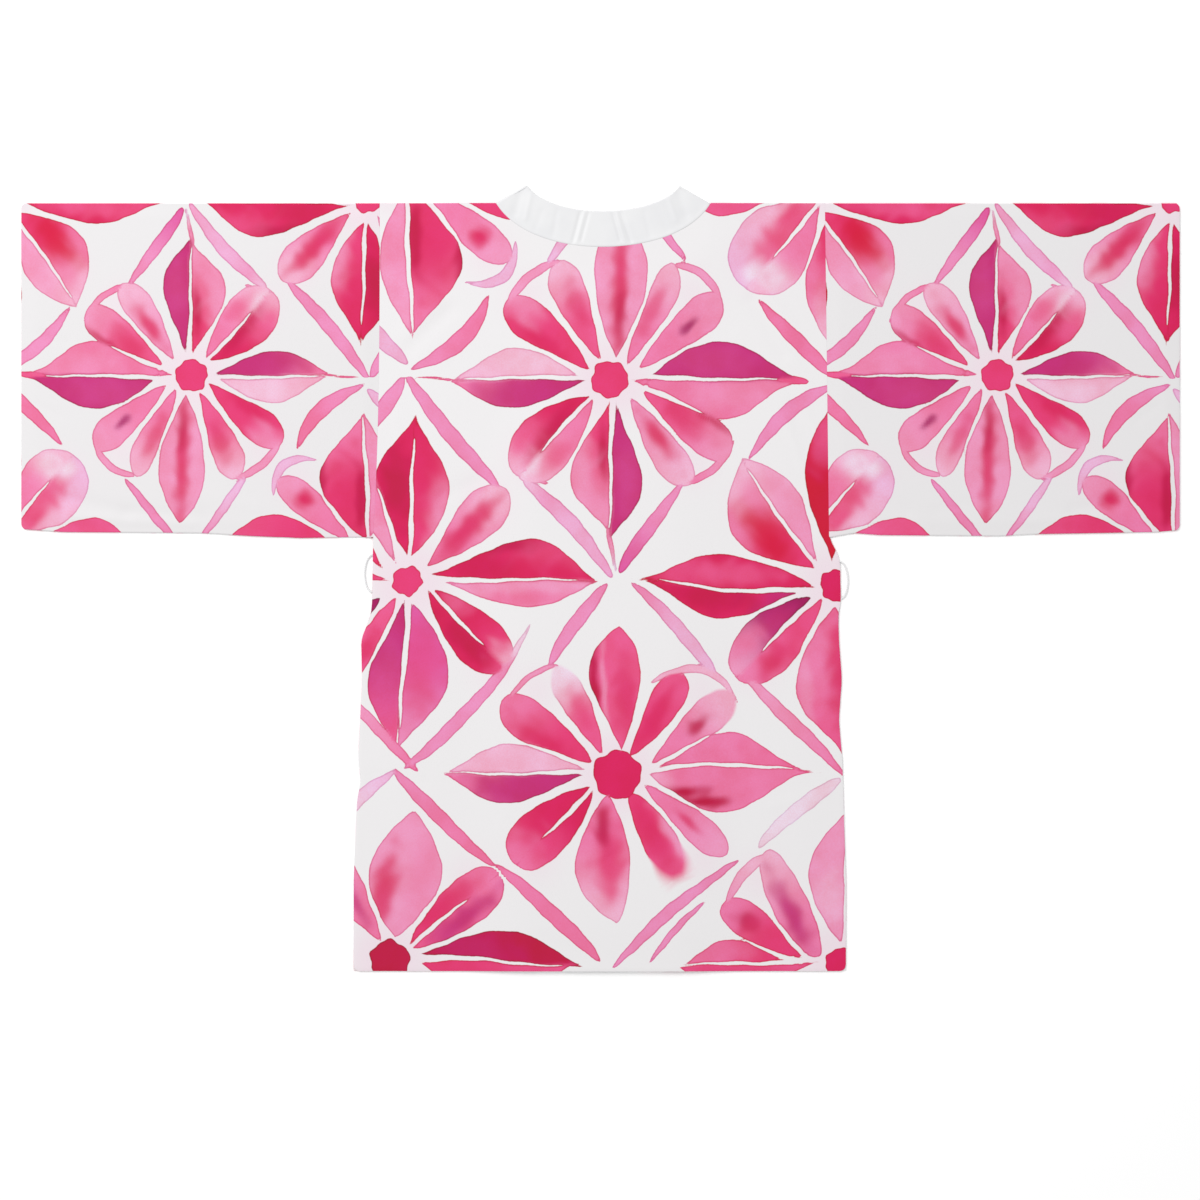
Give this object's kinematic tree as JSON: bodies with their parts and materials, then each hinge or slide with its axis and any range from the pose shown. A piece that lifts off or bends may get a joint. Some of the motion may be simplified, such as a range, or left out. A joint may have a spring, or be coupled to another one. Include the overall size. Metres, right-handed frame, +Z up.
{
  "type": "kimono robe laid flat",
  "caption": "Short T-shaped kimono robe in printed satin, laid flat and face down, with wide square sleeves, a plain band at the neck and fronts, and thread belt loops at the sides",
  "frame": {"origin": "on the surface under the robe, at the middle of its outline seen from above", "axes": "+X to the wearer's right, along the spread sleeves; +Y to the neck; +Z up from the surface, out of the robe's back"},
  "size_m": [1.275, 0.865, 0.0067],
  "materials": {
    "printed_cloth": "white satin-faced polyester cloth with a large pink and rose watercolour flower print",
    "sleeve_cloth": "the same white satin-faced cloth with the flower print a little smaller",
    "band_satin": "plain white satin, folded double, softly creased",
    "loop_thread": "white twisted thread"
  },
  "bodies": {
    "root": {"back": "printed_cloth", "front_left": "printed_cloth", "front_right": "printed_cloth", "sleeve_left": "sleeve_cloth", "sleeve_right": "sleeve_cloth", "neckband": "band_satin", "belt_loop_left": "loop_thread", "belt_loop_right": "loop_thread"}
  },
  "joints": []
}
